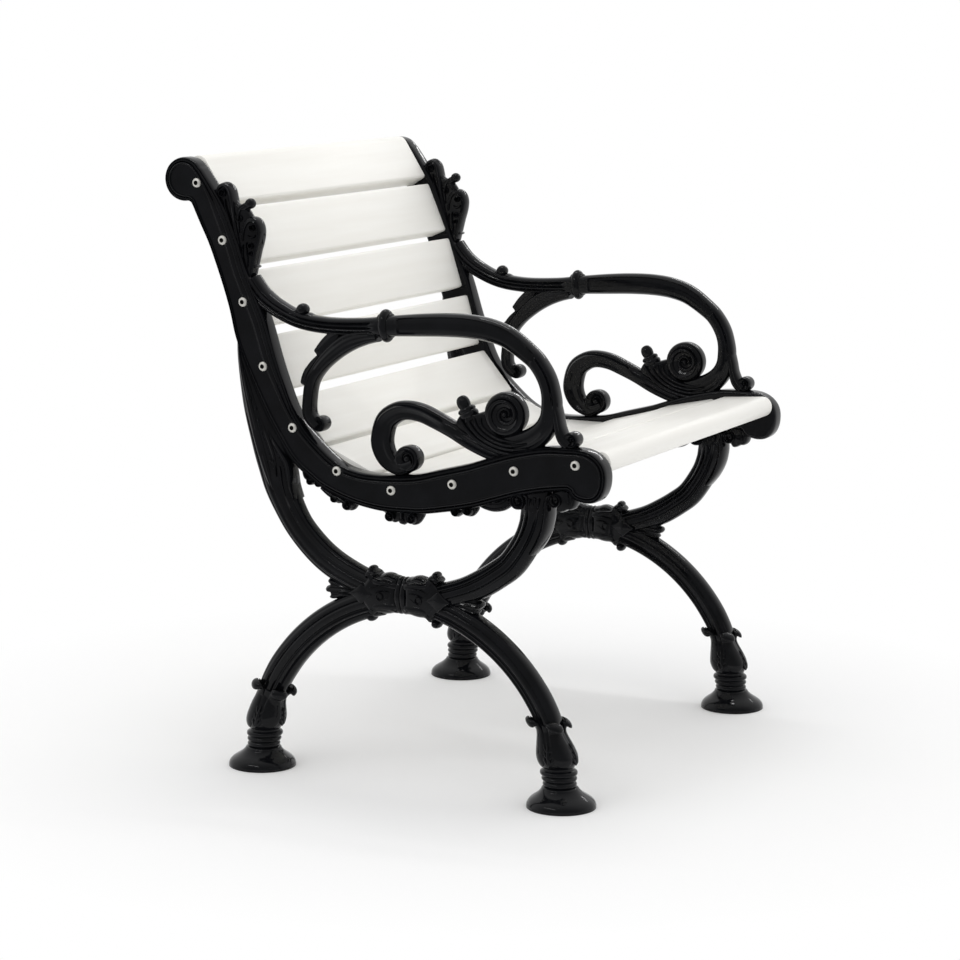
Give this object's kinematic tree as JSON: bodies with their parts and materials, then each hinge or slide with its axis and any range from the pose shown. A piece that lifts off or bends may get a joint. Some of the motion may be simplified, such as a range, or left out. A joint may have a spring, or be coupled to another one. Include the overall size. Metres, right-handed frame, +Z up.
{
  "type": "garden armchair",
  "caption": "Garden armchair with black ornamental cast side frames, crossed legs and scrolled arms, joined by white painted wooden slats.",
  "frame": {"origin": "on the ground, under the middle of the chair's overall box", "axes": "+Z up, the sitter faces -Y, +X to the sitter's left, slats run along X"},
  "size_m": [0.682, 0.6404, 0.811],
  "materials": {
    "casting": "gloss",
    "slat_wood": "satin",
    "screw_steel": "satin",
    "insert_brass": "satin"
  },
  "bodies": {
    "root": {"right_side_frame": "casting", "left_side_frame": "casting", "back_slat_1": "slat_wood", "back_slat_2": "slat_wood", "back_slat_3": "slat_wood", "back_slat_4": "slat_wood", "curved_slat_5": "slat_wood", "curved_slat_6": "slat_wood", "seat_slat_7": "slat_wood", "seat_slat_8": "slat_wood", "seat_slat_9": "slat_wood", "front_seat_slat_10": "slat_wood", "right_slat_screws": "screw_steel", "left_slat_screws": "screw_steel", "right_threaded_inserts": "insert_brass", "left_threaded_inserts": "insert_brass"}
  },
  "joints": []
}
